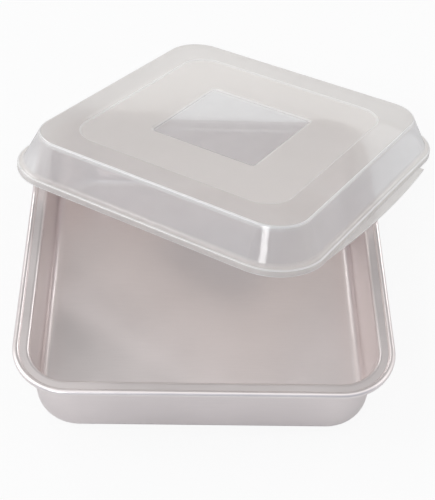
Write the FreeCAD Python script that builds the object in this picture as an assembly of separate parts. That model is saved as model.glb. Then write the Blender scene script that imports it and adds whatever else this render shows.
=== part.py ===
import FreeCAD, Part
import math
import os

from FreeCAD import Placement, Rotation, Vector

# A square aluminium cake pan with a rolled, wired edge, and its clear domed lid.
# The lid lies askew: its skirt rests on the pan's right edge, the inside of its wall on
# the pan's rear left corner, and its own rear corner stands on the table behind.
# Millimetres. +Z is up and +Y points away from the viewer. The origin is the middle
# of the pan's underside.

# Pan, sizes over all
RIM_WIDTH = 251.0
RIM_CORNER_RADIUS = 38.3
PAN_HEIGHT = 61.2

# Pan, body
PAN_SHEET = 1.0
BASE_WIDTH = 228.4
BASE_CORNER_RADIUS = 31.7
FLOOR_FILLET = 7.0

# Pan, edge
WIRE_DIAMETER = 2.5
WIRE_CLEARANCE = 0.05
RIM_OVERHANG = 10.35
LEDGE_DROP = 1.55
LEDGE_BEND_RADIUS = 2.8
CURL_END_ANGLE = 201.0

# Lid, skirt and flange
LID_SHEET = 1.0
LID_CLEARANCE = 0.3
SKIRT_DEPTH = 5.0
SHOULDER_RADIUS = 1.5
FLANGE_WIDTH = 3.8
FLANGE_FILLET = 3.0

# Lid, dome: its ridge runs round the top of the sloping wall
DOME_HEIGHT = 24.2
DOME_INSET = 12.0
RIDGE_CORNER_RADIUS = 26.6
RIDGE_RADIUS = 1.2
RIDGE_LAND = 1.4

# Lid, top: a band falls from the ridge to a step, inside it a panel, then a window
BAND_FALL = 0.7
PANEL_WIDTH = 176.6
PANEL_CORNER_RADIUS = 21.5
PANEL_STEP = 0.9
PANEL_STEP_ANGLE = 45.0
WINDOW_WIDTH = 86.8
WINDOW_CORNER_RADIUS = 2.5
WINDOW_STEP = 1.4
WINDOW_SLOPE_WIDTH = 2.8

# Lid, finger lip along one side, at the foot of the skirt
LIP_START = 85.0
LIP_END = 75.0
LIP_WIDEST_AT = 20.0
LIP_WIDTH = 5.4
LIP_END_WIDTH = 3.8

# Lid, how it lies: degrees, and shares of half the rim's width
LID_TURN = -33.43
LID_LEAN_SIDE = 1.82
LID_RIGHT_SHARE = 0.1641
LID_BACK_SHARE = 0.828
SEAT_GAP = 0.25
TABLE_GAP = 0.15

# How finely the resting place is worked out
STEEPEST_LEAN_ANGLE = -35.0
LEAN_ANGLE_STEP = 0.002
WALL_LINES = 50
POINT_SPACING = 1.0

# Two points this close are taken as the same
SAME_PLACE = 0.01

# Sizes that follow from these
rim_half = RIM_WIDTH / 2
bore_radius = WIRE_DIAMETER / 2 + WIRE_CLEARANCE
bead_radius = bore_radius + PAN_SHEET
bead_at = rim_half - bead_radius
bead_level = PAN_HEIGHT - bead_radius
corner_at = rim_half - RIM_CORNER_RADIUS
ledge_level = PAN_HEIGHT - LEDGE_DROP
wall_top = ledge_level - LEDGE_BEND_RADIUS
wall_half = rim_half - RIM_OVERHANG
wall_corner_radius = RIM_CORNER_RADIUS - RIM_OVERHANG

lid_half = rim_half + LID_CLEARANCE + LID_SHEET
lid_corner_radius = RIM_CORNER_RADIUS + LID_CLEARANCE + LID_SHEET
foot_half = lid_half - FLANGE_WIDTH
foot_corner_radius = lid_corner_radius - FLANGE_WIDTH
ridge_half = foot_half - DOME_INSET
wall_slope = DOME_INSET / DOME_HEIGHT

UP = Vector(0, 0, 1)
ORIGIN = Vector(0, 0, 0)


def rounded_square(half, radius, level):
    """A closed outline: a square with rounded corners, flat at one level."""
    straight = half - radius
    diagonal = straight + radius * math.sqrt(0.5)
    edges = []
    for quarter in range(4):
        turn = Rotation(UP, 90 * quarter)
        start, end, middle, after = (
            turn.multVec(Vector(x, y, level))
            for x, y in ((half, -straight), (half, straight), (diagonal, diagonal), (straight, half))
        )
        edges.append(Part.LineSegment(start, end).toShape())
        edges.append(Part.Arc(end, middle, after).toShape())
    return Part.Wire(edges)


def outline_distance(point, half, radius):
    """How far a point lies outside such an outline, seen from above."""
    across = abs(point.x) - (half - radius)
    along = abs(point.y) - (half - radius)
    inside = min(max(across, along), 0)
    return inside + math.hypot(max(across, 0), max(along, 0)) - radius


def slab(lower, upper):
    """A solid between two outlines, each given as half width, corner radius and level."""
    foot = rounded_square(*lower)
    head = rounded_square(*upper)
    faces = [Part.Face(foot), Part.Face(head)]
    for low, high in zip(foot.OrderedEdges, head.OrderedEdges):
        if isinstance(low.Curve, Part.Line):
            ring = [low.firstVertex().Point, low.lastVertex().Point]
            ring += [high.lastVertex().Point, high.firstVertex().Point]
            faces.append(Part.Face(Part.makePolygon(ring, True)))
        else:
            faces += Part.makeLoft([Part.Wire(low), Part.Wire(high)], False, True).Faces
    shell = Part.Shell(faces)
    shell.sewShape()
    return Part.Solid(shell).removeSplitter()


def round_level(shape, half, radius, level, fillet):
    """Rounds the edges that follow one outline."""
    chosen = []
    for edge in shape.Edges:
        middle = edge.valueAt((edge.FirstParameter + edge.LastParameter) / 2)
        off_outline = abs(outline_distance(middle, half, radius))
        if abs(middle.z - level) < SAME_PLACE and off_outline < SAME_PLACE:
            chosen.append(edge)
    return shape.makeFillet(fillet, chosen)


def carry_round(section):
    """Carries a section, drawn in the XZ plane, round the rim's rounded square."""
    side = section.translated(Vector(0, -corner_at, 0)).extrude(Vector(0, 2 * corner_at, 0))
    at_corner = section.translated(Vector(0, corner_at, 0))
    corner = at_corner.revolve(Vector(corner_at, corner_at, 0), UP, 90)
    stretches = [
        piece.rotated(ORIGIN, UP, 90 * quarter) for quarter in range(4) for piece in (side, corner)
    ]
    return stretches[0].multiFuse(stretches[1:]).removeSplitter()


def pan_form(inset):
    """The pan's drawn body up to its bend: the outer form, or inset by the sheet, the inside."""
    lean = (wall_half - BASE_WIDTH / 2) / wall_top
    tighten = (wall_corner_radius - BASE_CORNER_RADIUS) / wall_top
    lower = (BASE_WIDTH / 2 + lean * inset - inset, BASE_CORNER_RADIUS + tighten * inset - inset, inset)
    upper = (wall_half - inset, wall_corner_radius - inset, wall_top)
    body = slab(lower, upper)
    return round_level(body, *lower, FLOOR_FILLET + PAN_SHEET - inset)


def on_bead(radius, angle):
    """A point of the rolled bead's section, at an angle from its outer side."""
    turn = math.radians(angle)
    return Vector(bead_at + radius * math.cos(turn), 0, bead_level + radius * math.sin(turn))


def edge_section():
    """The pan's edge in section: bend, flat ledge, and the sheet rolled round the wire."""
    under_ledge = ledge_level - PAN_SHEET
    bend_at = wall_half - PAN_SHEET + LEDGE_BEND_RADIUS
    under_radius = LEDGE_BEND_RADIUS - PAN_SHEET
    diagonal = math.sqrt(0.5)
    roll_start = 180 - math.degrees(math.asin((ledge_level - bead_level) / bead_radius))
    bore_end = 180 + math.degrees(math.asin((bead_level - under_ledge) / bore_radius))
    wall_inside = Vector(wall_half - PAN_SHEET, 0, wall_top)
    bend_top = Vector(bend_at, 0, ledge_level)
    bend_middle = Vector(bend_at - LEDGE_BEND_RADIUS * diagonal, 0, wall_top + LEDGE_BEND_RADIUS * diagonal)
    under_top = Vector(bend_at, 0, under_ledge)
    under_middle = Vector(bend_at - under_radius * diagonal, 0, wall_top + under_radius * diagonal)
    wall_outside = Vector(wall_half, 0, wall_top)
    roll_middle = (roll_start + CURL_END_ANGLE - 360) / 2
    bore_middle = (bore_end + CURL_END_ANGLE - 360) / 2
    edges = [
        Part.Arc(wall_inside, bend_middle, bend_top),
        Part.LineSegment(bend_top, on_bead(bead_radius, roll_start)),
        Part.Arc(
            on_bead(bead_radius, roll_start),
            on_bead(bead_radius, roll_middle),
            on_bead(bead_radius, CURL_END_ANGLE),
        ),
        Part.LineSegment(on_bead(bead_radius, CURL_END_ANGLE), on_bead(bore_radius, CURL_END_ANGLE)),
        Part.Arc(
            on_bead(bore_radius, CURL_END_ANGLE),
            on_bead(bore_radius, bore_middle),
            on_bead(bore_radius, bore_end),
        ),
        Part.LineSegment(on_bead(bore_radius, bore_end), under_top),
        Part.Arc(under_top, under_middle, wall_outside),
        Part.LineSegment(wall_outside, wall_inside),
    ]
    return Part.Face(Part.Wire([edge.toShape() for edge in edges]))


def make_pan():
    """The pan: one drawn sheet of aluminium with its edge rolled."""
    body = pan_form(0).cut(pan_form(PAN_SHEET))
    return body.fuse(carry_round(edge_section())).removeSplitter()


def make_rim_wire():
    """The steel wire inside the rolled edge."""
    circle = Part.Circle(Vector(bead_at, 0, bead_level), Vector(0, 1, 0), WIRE_DIAMETER / 2)
    return carry_round(Part.Face(Part.Wire(circle.toShape())))


def top_recess(inset):
    """What is taken off the dome's top: the falling band, the panel's step and the window."""
    top = DOME_HEIGHT - inset
    widen = inset * math.tan(math.radians(PANEL_STEP_ANGLE / 2))
    crease = top - BAND_FALL
    panel = crease - PANEL_STEP
    window = panel - WINDOW_STEP
    panel_half = PANEL_WIDTH / 2
    window_half = WINDOW_WIDTH / 2
    step_width = PANEL_STEP / math.tan(math.radians(PANEL_STEP_ANGLE))
    slope_width = WINDOW_SLOPE_WIDTH
    band = slab(
        (panel_half + widen, PANEL_CORNER_RADIUS + widen, crease),
        (ridge_half - RIDGE_LAND, RIDGE_CORNER_RADIUS - RIDGE_LAND, top),
    )
    step = slab(
        (panel_half + widen - step_width, PANEL_CORNER_RADIUS + widen - step_width, panel),
        (panel_half + widen, PANEL_CORNER_RADIUS + widen, crease),
    )
    pocket = slab(
        (window_half + widen, WINDOW_CORNER_RADIUS + widen, window),
        (window_half + widen + slope_width, WINDOW_CORNER_RADIUS + widen + slope_width, panel),
    )
    return band.fuse([step, pocket])


def wall_outlines(inset):
    """The foot and the ridge of the sloping wall, outside or inset by the sheet."""
    shift = wall_slope * inset - inset * math.hypot(1, wall_slope)
    foot = (foot_half + shift, foot_corner_radius + shift, -inset)
    ridge = (ridge_half + shift, RIDGE_CORNER_RADIUS + shift, DOME_HEIGHT - inset)
    return foot, ridge


def lid_form(inset):
    """The lid's outer form or, inset by its sheet, the hollow under it, with a sharp ridge."""
    half = lid_half - inset
    corner = lid_corner_radius - inset
    foot, ridge = wall_outlines(inset)
    skirt = slab((half, corner, -SKIRT_DEPTH), (half, corner, -inset))
    form = skirt.fuse(slab(foot, ridge)).removeSplitter()
    form = round_level(form, half, corner, -inset, SHOULDER_RADIUS - inset)
    form = round_level(form, *foot, FLANGE_FILLET + inset)
    if inset == 0:
        form = round_level(form, *ridge, RIDGE_RADIUS)
    return form.cut(top_recess(inset))


def lip_outline():
    """The finger lip seen from above: bowed outwards and cut off square."""
    root = lid_half - LID_SHEET / 2
    level = -SKIRT_DEPTH
    start = Vector(root, -LIP_START, level)
    widest = Vector(lid_half + LIP_WIDTH, -LIP_WIDEST_AT, level)
    end = Vector(lid_half + LIP_END_WIDTH, LIP_END, level)
    root_end = Vector(root, LIP_END, level)
    edges = [
        Part.Arc(start, widest, end),
        Part.LineSegment(end, root_end),
        Part.LineSegment(root_end, start),
    ]
    return Part.Wire([edge.toShape() for edge in edges])


def make_lid():
    """The lid in its own frame, its flange level at zero."""
    shell = lid_form(0).cut(lid_form(LID_SHEET))
    lip = Part.Face(lip_outline()).extrude(UP * LID_SHEET)
    return shell.fuse(lip).removeSplitter()


def lid_rotation(lean_back):
    """The lid's turn, then its lean to the rear, then its small lean to the side."""
    side = Rotation(Vector(0, 1, 0), LID_LEAN_SIDE)
    back = Rotation(Vector(1, 0, 0), lean_back)
    return side * back * Rotation(UP, LID_TURN)


def underside_points():
    """Points where the lid can touch: skirt foot, finger lip and the inside of the wall."""
    foot, ridge = wall_outlines(LID_SHEET)
    lines = [
        rounded_square(lid_half, lid_corner_radius, -SKIRT_DEPTH),
        rounded_square(lid_half - LID_SHEET, lid_corner_radius - LID_SHEET, -SKIRT_DEPTH),
        lip_outline(),
    ]
    for level in range(WALL_LINES + 1):
        share = level / WALL_LINES
        lines.append(rounded_square(*(low + (high - low) * share for low, high in zip(foot, ridge))))
    return [point for line in lines for point in line.discretize(Distance=POINT_SPACING)]


def height_over_rim(points, across, back):
    """How high the lid's frame has to stand for these points to clear the bead."""
    heights = []
    for point in points:
        place = Vector(point.x + across, point.y + back, 0)
        off_centre = rim_half + outline_distance(place, rim_half, RIM_CORNER_RADIUS) - bead_at
        if abs(off_centre) < bead_radius:
            top = bead_level + math.sqrt(bead_radius ** 2 - off_centre ** 2)
            heights.append(top + SEAT_GAP - point.z)
    return max(heights)


def resting_place():
    """The lid's placement: laid on the bead, and leaned until its rear corner meets the table."""
    across = LID_RIGHT_SHARE * rim_half
    back = LID_BACK_SHARE * rim_half
    underside = underside_points()
    level, steep = 0.0, STEEPEST_LEAN_ANGLE
    while level - steep > LEAN_ANGLE_STEP:
        lean = (level + steep) / 2
        rotation = lid_rotation(lean)
        turned = [rotation.multVec(point) for point in underside]
        height = height_over_rim(turned, across, back)
        if height + min(point.z for point in turned) > TABLE_GAP:
            level = lean
        else:
            steep = lean
    print("lid leans %.2f degrees, its frame stands at %.2f mm" % (lean, height))
    return Placement(Vector(across, back, height), rotation)


def main():
    lid = make_lid()
    lid.Placement = resting_place()
    nodes = {"pan": make_pan(), "rim_wire": make_rim_wire(), "lid": lid}
    os.makedirs("parts", exist_ok=True)
    for name, shape in nodes.items():
        print("%s valid %s solids %d volume %.0f" % (name, shape.isValid(), len(shape.Solids), shape.Volume))
        shape.exportStep("parts/%s.step" % name)


main()
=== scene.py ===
"""A square aluminium cake pan with its clear lid laid askew over the rear, in a white studio."""

import math

import bpy
from mathutils import Matrix, Vector

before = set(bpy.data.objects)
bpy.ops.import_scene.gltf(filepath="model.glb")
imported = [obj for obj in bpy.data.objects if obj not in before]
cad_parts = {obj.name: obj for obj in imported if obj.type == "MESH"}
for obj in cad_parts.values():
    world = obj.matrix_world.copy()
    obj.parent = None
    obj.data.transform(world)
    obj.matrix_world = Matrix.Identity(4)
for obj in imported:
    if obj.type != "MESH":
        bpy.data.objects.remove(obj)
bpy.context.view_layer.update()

MM = 0.001
IMAGE_WIDTH, IMAGE_HEIGHT = 435, 500

# Camera, where the photograph was taken from. Angles in degrees.
CAMERA_PLACE = Vector((-0.0190, -0.5042, 0.6617))
CAMERA_YAW = 3.205
CAMERA_PITCH = 50.285
CAMERA_ROLL = -3.433
FOCAL_PIXELS = 1113.9
SENSOR_MM = 36.0

# How the lid lies. Degrees and metres, the same as the solid's.
LID_PLACE = Vector((0.02059, 0.10391, 0.04913))
LID_TURN = -33.43
LID_LEAN_BACK = -16.26
LID_LEAN_SIDE = 1.82

# The lid's outlines and levels, in its own frame: half widths, corner radii and heights
SKIRT_HALF, SKIRT_CORNER = 0.1268, 0.0396
RIDGE_HALF, RIDGE_CORNER = 0.1110, 0.0266
PANEL_HALF, PANEL_CORNER = 0.0883, 0.0215
WINDOW_HALF, WINDOW_CORNER = 0.0448, 0.0039
RIDGE_LEVEL = 0.0242
WALL_FOOT_LEVEL = 0.0015
SKIRT_FOOT_LEVEL = -0.005

# Half the width over which the frosting stops, and the wall turns cloudy at its foot
FROST_BLUR = 0.4 * MM
SKIRT_BLUR = 1.5 * MM
# The width outside the ridge over which the top turns into the wall
WALL_BLEND = 2 * MM
# The painted highlight lines along the lid's edges: their width, the levels over which the upper
# ones set in, and how far inside the skirt's outline the shoulder's line does
EDGE_WIDTH = 1 * MM
UPPER_LINES = (RIDGE_LEVEL - 8 * MM, RIDGE_LEVEL - 6 * MM)
SHOULDER_BAND = (-2 * MM, -1 * MM)

# The share of light that each zone of the lid scatters where it is seen square on
HAZE_BAND = 0.34
HAZE_RING = 0.7
HAZE_WINDOW = 0.25
HAZE_WALL = 0.33
HAZE_SKIRT = 0.54
# Denser haze along the painted highlight lines: round the window and ring, and along the bends
HAZE_CREASE = 0.72
HAZE_BEND = 0.94
HAZE_CLOUDS = 0.06
# Seen at a slant, the light passes more plastic, up to this cosine
LEAST_COSINE = 0.12
# The share of the scattered light that goes on through the sheet
MILK_THROUGH = 0.6
MILK_WARM = ((0.915, 0.89, 0.868, 1), (0.925, 0.903, 0.884, 1))
MILK_COOL = ((0.9, 0.893, 0.895, 1), (0.91, 0.905, 0.91, 1))
# Painted highlights: whiter colour along the creases round the window and ring, and along the
# bends
CREASE_HIGHLIGHT_COLOUR = (0.95, 0.94, 0.93, 1)
BEND_HIGHLIGHT_COLOUR = (0.99, 0.985, 0.98, 1)
# The lid's gloss: its share seen square on, what a slant adds and what the painted highlight
# lines at the bends add, and its roughness
SHINE_SQUARE = 0.045
SHINE_SLANT = 0.9
SHINE_POWER = 5.0
SHINE_BEND = 0.22
ROUGH_CLEAR, ROUGH_FROSTED, ROUGH_BEND = 0.1, 0.4, 0.35

# The darkest and lightest tone of each metal, and its roughness there
ALUMINIUM_TONES = ((0.865, 0.806, 0.798, 1), (0.905, 0.844, 0.835, 1))
ALUMINIUM_ROUGHNESS = (0.30, 0.36)
STEEL_TONES = ((0.42, 0.42, 0.43, 1), (0.52, 0.52, 0.53, 1))
STEEL_ROUGHNESS = (0.3, 0.45)
# The spans of a noise that give the whole change of tone or of roughness
TONE_SPAN = (0.35, 0.65)
ROUGHNESS_SPAN = (0.3, 0.7)
# The aluminium's grain: how fine it is along each axis, its share in the tone beside the
# blotches and in the height beside the specks, and how deep it is
GRAIN_FINENESS = (60.0, 900.0, 900.0)
GRAIN_IN_TONE = 0.3
GRAIN_IN_HEIGHT = 0.6
GRAIN_DEPTH = 0.2 * MM
GRAIN_STRENGTH = 0.05

# The table: half its width, how far it lies below the pan, its tones and their span of noise
TABLE_HALF = 6.0
TABLE_DROP = 0.2 * MM
TABLE_TONES = ((0.69, 0.69, 0.69, 1), (0.71, 0.71, 0.71, 1))
TABLE_SPAN = (0.3, 0.7)
# How white it shows, beside how it is lit: to the eye, and in the metal
TABLE_WHITE = 0.9
TABLE_WHITE_IN_METAL = 0.06

# The sky's strength, where 1 is white: left, right, overhead, behind the object (low and
# high) and behind the viewer, where it also has a tint
SKY_LEFT = 1.45
SKY_RIGHT = 0.92
SKY_TOP = 1.05
SKY_BACK = 0.55
SKY_BACK_HIGH = 0.16
SKY_FRONT = 0.53
FRONT_TINT = (0.91, 0.96, 1.05, 1)
WHITE = (1, 1, 1, 1)
# Where one part of the sky passes into the next, as numbers of the direction: x is to the
# right, y away from the viewer and z up
LEFT_TO_RIGHT_X = (-0.3, 0.3)
SIDE_TO_BACK_Y = (0.25, 0.6)
SIDE_TO_FRONT_Y = (-0.1, -0.6)
BACK_TO_HIGH_Z = (0.5, 0.75)
SIDE_TO_TOP_Z = (0.8, 0.95)

# Soft boxes: azimuth (0 is the viewer's side, 90 the right), elevation, width, height, radiance.
# The window makes the bright line down the lid's front corner. The others light the metal
# and the lid from the sides and from behind.
SOFT_BOXES = {
    "window": (-26, 37, 0.42, 0.25, 8.0),
    "left_box": (-80, 40, 0.4, 0.5, 4.2),
    "right_box": (85, 40, 0.4, 0.5, 1.2),
    "back_left_box": (-147, 30, 0.42, 0.42, 5.2),
    "back_right_box": (134, 25, 0.4, 0.4, 4.2),
}
BOX_AIM = Vector((0, 0.03, 0.04))
BOX_DISTANCE = 1.6


def look_matrix(yaw, pitch, roll):
    """The camera's turn from its yaw to the right, its pitch down and its roll."""
    turn = Matrix.Rotation(math.radians(-yaw), 3, "Z")
    tilt = Matrix.Rotation(math.radians(90 - pitch), 3, "X")
    bank = Matrix.Rotation(math.radians(-roll), 3, "Z")
    return turn @ tilt @ bank


def add(name, data, matrix=None):
    """Puts an object in the scene."""
    obj = bpy.data.objects.new(name, data)
    if matrix is not None:
        obj.matrix_world = matrix
    bpy.context.scene.collection.objects.link(obj)
    return obj


def make_camera():
    data = bpy.data.cameras.new("camera")
    data.sensor_width = SENSOR_MM
    data.lens = FOCAL_PIXELS * SENSOR_MM / max(IMAGE_WIDTH, IMAGE_HEIGHT)
    look = look_matrix(CAMERA_YAW, CAMERA_PITCH, CAMERA_ROLL).to_4x4()
    bpy.context.scene.camera = add("camera", data, Matrix.Translation(CAMERA_PLACE) @ look)


class Nodes:
    """Builds a node tree: values, maths and shaders, linked as they are made."""

    def __init__(self, tree):
        self.tree = tree
        tree.nodes.clear()

    def add(self, kind, inputs=None, **settings):
        node = self.tree.nodes.new(kind)
        for key, value in settings.items():
            setattr(node, key, value)
        for key, value in (inputs or {}).items():
            self.feed(node.inputs[key], value)
        return node

    def feed(self, socket, value):
        """Links a socket to another, or sets its value."""
        if isinstance(value, bpy.types.NodeSocket):
            self.tree.links.new(value, socket)
        else:
            socket.default_value = value

    def place(self):
        """A point's place on the object."""
        return self.add("ShaderNodeTexCoord").outputs["Object"]

    def math(self, operation, *values, clamp=False):
        node = self.add("ShaderNodeMath", operation=operation, use_clamp=clamp)
        for socket, value in zip(node.inputs, values):
            self.feed(socket, value)
        return node.outputs[0]

    def between(self, value, low, high, at_low=0.0, at_high=1.0):
        """A smooth rise from one number to another while the value goes from low to high."""
        limits = {"From Min": low, "From Max": high, "To Min": at_low, "To Max": at_high}
        node = self.add(
            "ShaderNodeMapRange", {"Value": value, **limits}, interpolation_type="SMOOTHSTEP"
        )
        return node.outputs["Result"]

    def mix_as(self, data_type, share, low, high):
        """A mix of two values, by the share of the second."""
        node = self.add("ShaderNodeMix", data_type=data_type)
        for name, value in (("Factor", share), ("A", low), ("B", high)):
            self.feed(next(s for s in node.inputs if s.name == name and s.enabled), value)
        return next(s for s in node.outputs if s.enabled)

    def mix(self, share, low, high):
        """A number between two others."""
        return self.mix_as("FLOAT", share, low, high)

    def mix_colour(self, share, low, high):
        """A colour between two others."""
        return self.mix_as("RGBA", share, low, high)

    def mix_shader(self, share, low, high):
        """A shader between two others."""
        return self.add("ShaderNodeMixShader", {0: share, 1: low, 2: high}).outputs[0]

    def noise(self, place, scale, detail, roughness=0.5):
        inputs = {"Vector": place, "Scale": scale, "Detail": detail, "Roughness": roughness}
        return self.add("ShaderNodeTexNoise", inputs).outputs["Fac"]

    def stretched(self, place, scale):
        """The place, scaled by its own factor along each axis."""
        return self.add("ShaderNodeMapping", {"Vector": place, "Scale": scale}).outputs[0]

    def weighed(self, first, second, share):
        """The sum of two numbers, by the share of the first."""
        rest = self.math("MULTIPLY", second, 1.0 - share)
        return self.math("ADD", self.math("MULTIPLY", first, share), rest)

    def line(self, distance, width=EDGE_WIDTH):
        """One where a distance is nearly zero, falling to zero a width away."""
        return self.between(self.math("ABSOLUTE", distance), width / 3, width, 1.0, 0.0)

    def outline_distance(self, across, along, half, radius):
        """How far a point lies outside a square with rounded corners."""
        straight = half - radius
        x = self.math("SUBTRACT", self.math("ABSOLUTE", across), straight)
        y = self.math("SUBTRACT", self.math("ABSOLUTE", along), straight)
        square_x = self.math("POWER", self.math("MAXIMUM", x, 0.0), 2.0)
        square_y = self.math("POWER", self.math("MAXIMUM", y, 0.0), 2.0)
        outside = self.math("SQRT", self.math("ADD", square_x, square_y))
        inside = self.math("MINIMUM", self.math("MAXIMUM", x, y), 0.0)
        return self.math("SUBTRACT", self.math("ADD", outside, inside), radius)


def new_material(name):
    material = bpy.data.materials.new(name)
    material.use_nodes = True
    return material, Nodes(material.node_tree)


def finish_surface(nodes, shader):
    nodes.add("ShaderNodeOutputMaterial", {"Surface": shader})


def aluminium():
    """Satin rolled aluminium with a slight warm cast, a faint grain and faint blotches."""
    material, n = new_material("satin_aluminium")
    place = n.place()
    grain = n.noise(n.stretched(place, GRAIN_FINENESS), scale=1.0, detail=4.0, roughness=0.6)
    blotch = n.noise(place, scale=14.0, detail=2.0)
    speck = n.noise(place, scale=1500.0, detail=2.0)
    tone = n.weighed(grain, blotch, GRAIN_IN_TONE)
    height = n.weighed(grain, speck, GRAIN_IN_HEIGHT)
    bump = n.add(
        "ShaderNodeBump",
        {"Strength": GRAIN_STRENGTH, "Distance": GRAIN_DEPTH, "Height": height},
    )
    shader = n.add(
        "ShaderNodeBsdfPrincipled",
        {
            "Base Color": n.mix_colour(n.between(tone, *TONE_SPAN), *ALUMINIUM_TONES),
            "Metallic": 1.0,
            "Roughness": n.between(tone, *ROUGHNESS_SPAN, *ALUMINIUM_ROUGHNESS),
            "Normal": bump.outputs[0],
        },
    )
    finish_surface(n, shader.outputs[0])
    return material


def steel():
    """Drawn steel wire: fine specks in a grey metal."""
    material, n = new_material("drawn_wire")
    specks = n.noise(n.place(), scale=900.0, detail=3.0)
    shader = n.add(
        "ShaderNodeBsdfPrincipled",
        {
            "Base Color": n.mix_colour(n.between(specks, *TONE_SPAN), *STEEL_TONES),
            "Metallic": 1.0,
            "Roughness": n.between(specks, *ROUGHNESS_SPAN, *STEEL_ROUGHNESS),
        },
    )
    finish_surface(n, shader.outputs[0])
    return material


def lid_matrix():
    """The lid's own frame in the row frame."""
    side = Matrix.Rotation(math.radians(LID_LEAN_SIDE), 4, "Y")
    back = Matrix.Rotation(math.radians(LID_LEAN_BACK), 4, "X")
    turn = Matrix.Rotation(math.radians(LID_TURN), 4, "Z")
    return Matrix.Translation(LID_PLACE) @ side @ back @ turn


def lid_place(n):
    """A point's place in the lid's own frame."""
    own = lid_matrix()
    inputs = {"Vector": n.place(), "Location": own.to_translation(), "Rotation": own.to_euler()}
    return n.add("ShaderNodeMapping", inputs, vector_type="TEXTURE").outputs[0]


def plastic_body(n, haze, colour):
    """A thin clear sheet that scatters a share of the light, and more of it at a slant."""
    facing = n.add("ShaderNodeLayerWeight", {"Blend": 0.5}).outputs["Facing"]
    cosine = n.math("MAXIMUM", n.math("SUBTRACT", 1.0, facing), LEAST_COSINE)
    clear = n.math("POWER", n.math("SUBTRACT", 1.0, haze), n.math("DIVIDE", 1.0, cosine))
    before = n.add("ShaderNodeBsdfDiffuse", {"Color": colour}).outputs[0]
    through = n.add("ShaderNodeBsdfTranslucent", {"Color": colour}).outputs[0]
    straight = n.add("ShaderNodeBsdfTransparent").outputs[0]
    return n.mix_shader(clear, n.mix_shader(MILK_THROUGH, before, through), straight), facing


def clear_plastic():
    """Clear moulded plastic: clear window, frosted ring, clear walls, a cloudy skirt and lip.

    Painted highlight lines run along the bends, and fainter ones round the window and the ring,
    of whiter colour and denser haze; the bends also get more gloss.
    """
    material, n = new_material("clear_plastic")
    local = lid_place(n)
    x, y, z = n.add("ShaderNodeSeparateXYZ", {"Vector": local}).outputs
    rim = n.outline_distance(x, y, SKIRT_HALF, SKIRT_CORNER)
    ridge = n.outline_distance(x, y, RIDGE_HALF, RIDGE_CORNER)
    panel = n.outline_distance(x, y, PANEL_HALF, PANEL_CORNER)
    window = n.outline_distance(x, y, WINDOW_HALF, WINDOW_CORNER)

    pane = n.between(window, -FROST_BLUR, FROST_BLUR, 1.0, 0.0)
    in_panel = n.between(panel, -FROST_BLUR, FROST_BLUR, 1.0, 0.0)
    ring = n.math("MULTIPLY", in_panel, n.between(window, -FROST_BLUR, FROST_BLUR))
    wall = n.between(ridge, 0.0, WALL_BLEND)
    skirt = n.between(z, WALL_FOOT_LEVEL - SKIRT_BLUR, WALL_FOOT_LEVEL + SKIRT_BLUR, 1.0, 0.0)

    # Masks of the painted highlight lines: round the panel and window, the ridge, the shoulder
    # and the skirt's foot
    upper = n.between(z, *UPPER_LINES)
    crease_highlights = n.math("MULTIPLY", n.math("MAXIMUM", n.line(panel), n.line(window)), upper)
    ridge_highlight = n.math("MULTIPLY", n.line(ridge), upper)
    shoulder_highlight = n.math("MULTIPLY", n.line(z), n.between(rim, *SHOULDER_BAND))
    foot_highlight = n.line(n.math("SUBTRACT", z, SKIRT_FOOT_LEVEL))
    bend_highlights = n.math("MAXIMUM", ridge_highlight, n.math("MAXIMUM", shoulder_highlight, foot_highlight))

    clouds = n.noise(local, scale=30.0, detail=2.0)
    haze = n.mix(pane, n.mix(ring, HAZE_BAND, HAZE_RING), HAZE_WINDOW)
    haze = n.mix(skirt, n.mix(wall, haze, HAZE_WALL), HAZE_SKIRT)
    # Denser haze along the painted highlight lines
    haze = n.mix(bend_highlights, n.mix(crease_highlights, haze, HAZE_CREASE), HAZE_BEND)
    uneven = n.math("MULTIPLY", n.math("SUBTRACT", clouds, 0.5), HAZE_CLOUDS)
    haze = n.math("ADD", haze, uneven)

    polished = n.math("MAXIMUM", pane, wall)
    polished = n.math("MULTIPLY", polished, n.math("SUBTRACT", 1.0, skirt))
    warm = n.mix_colour(clouds, *MILK_WARM)
    cool = n.mix_colour(clouds, *MILK_COOL)
    # Whiter colour along the painted highlight lines
    colour = n.mix_colour(crease_highlights, n.mix_colour(polished, warm, cool), CREASE_HIGHLIGHT_COLOUR)
    colour = n.mix_colour(bend_highlights, colour, BEND_HIGHLIGHT_COLOUR)

    body, facing = plastic_body(n, haze, colour)
    rough = n.mix(bend_highlights, n.mix(ring, ROUGH_CLEAR, ROUGH_FROSTED), ROUGH_BEND)
    gloss = n.add("ShaderNodeBsdfAnisotropic", {"Roughness": rough}).outputs[0]
    slant = n.math("MULTIPLY", n.math("POWER", facing, SHINE_POWER), SHINE_SLANT)
    shine = n.math("ADD", SHINE_SQUARE, slant)
    # More gloss along the painted highlight lines at the bends
    shine = n.math("ADD", shine, n.math("MULTIPLY", bend_highlights, SHINE_BEND), clamp=True)
    finish_surface(n, n.mix_shader(shine, body, gloss))
    return material


def dress(node, material):
    """Gives a CAD node its material."""
    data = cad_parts[node].data
    data.materials.clear()
    data.materials.append(material)


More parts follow.
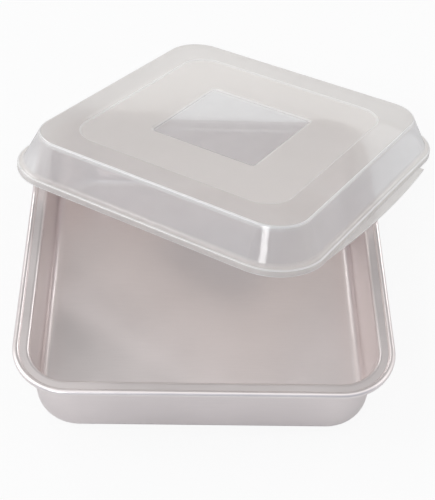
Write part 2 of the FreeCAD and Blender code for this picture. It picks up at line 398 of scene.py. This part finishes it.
def white_table():
    """A matt white that looks whiter to the eye, and a little whiter in the metal."""
    material, n = new_material("white_table")
    grain = n.noise(n.place(), scale=300.0, detail=2.0)
    colour = n.mix_colour(n.between(grain, *TABLE_SPAN), *TABLE_TONES)
    matt = n.add("ShaderNodeBsdfPrincipled", {"Base Color": colour, "Roughness": 0.9}).outputs[0]
    white = n.add("ShaderNodeEmission", {"Color": WHITE, "Strength": 1.0}).outputs[0]
    path = n.add("ShaderNodeLightPath").outputs
    seen = n.math("ADD", path["Is Camera Ray"], path["Is Transmission Ray"], clamp=True)
    mirrored = n.math("MULTIPLY", path["Is Glossy Ray"], TABLE_WHITE_IN_METAL)
    share = n.math("MAXIMUM", n.math("MULTIPLY", seen, TABLE_WHITE), mirrored)
    finish_surface(n, n.mix_shader(share, matt, white))
    return material


def make_floor():
    """The table under the object, which keeps a light shadow round it."""
    mesh = bpy.data.meshes.new("floor")
    square = ((-1, -1), (1, -1), (1, 1), (-1, 1))
    corners = [(x * TABLE_HALF, y * TABLE_HALF, 0) for x, y in square]
    mesh.from_pydata(corners, [], [(0, 1, 2, 3)])
    mesh.materials.append(white_table())
    floor = add("floor", mesh)
    floor.location.z = -TABLE_DROP


def make_soft_box(name, azimuth, elevation, width, height, radiance):
    """A soft box, turned to the object."""
    a, e = math.radians(azimuth), math.radians(elevation)
    away = Vector((math.sin(a) * math.cos(e), -math.cos(a) * math.cos(e), math.sin(e)))
    data = bpy.data.lights.new(name, "AREA")
    data.shape = "RECTANGLE"
    data.size, data.size_y = width, height
    data.energy = radiance * math.pi * width * height
    lamp = add(name, data, away.to_track_quat("Z", "Y").to_matrix().to_4x4())
    lamp.location = BOX_AIM + away * BOX_DISTANCE


def make_sky():
    """The world: it lights with another strength from each side, and looks plain white."""
    world = bpy.data.worlds.new("studio")
    bpy.context.scene.world = world
    world.use_nodes = True
    n = Nodes(world.node_tree)
    direction = n.add("ShaderNodeTexCoord").outputs["Generated"]
    x, y, z = n.add("ShaderNodeSeparateXYZ", {"Vector": direction}).outputs
    back = n.mix(n.between(z, *BACK_TO_HIGH_Z), SKY_BACK, SKY_BACK_HIGH)
    side = n.between(x, *LEFT_TO_RIGHT_X, SKY_LEFT, SKY_RIGHT)
    front = n.between(y, *SIDE_TO_FRONT_Y)
    level = n.mix(n.between(y, *SIDE_TO_BACK_Y), side, back)
    level = n.mix(front, level, SKY_FRONT)
    level = n.mix(n.between(z, *SIDE_TO_TOP_Z), level, SKY_TOP)
    tint = n.mix_colour(front, WHITE, FRONT_TINT)
    light = n.add("ShaderNodeBackground", {"Color": tint, "Strength": level}).outputs[0]
    white = n.add("ShaderNodeBackground", {"Color": WHITE, "Strength": 1.0}).outputs[0]
    seen = n.add("ShaderNodeLightPath").outputs["Is Camera Ray"]
    n.add("ShaderNodeOutputWorld", {"Surface": n.mix_shader(seen, light, white)})


make_camera()
make_floor()
make_sky()
for box_name, box in SOFT_BOXES.items():
    make_soft_box(box_name, *box)
dress("pan", aluminium())
dress("rim_wire", steel())
dress("lid", clear_plastic())

bpy.context.scene.view_settings.view_transform = "Standard"
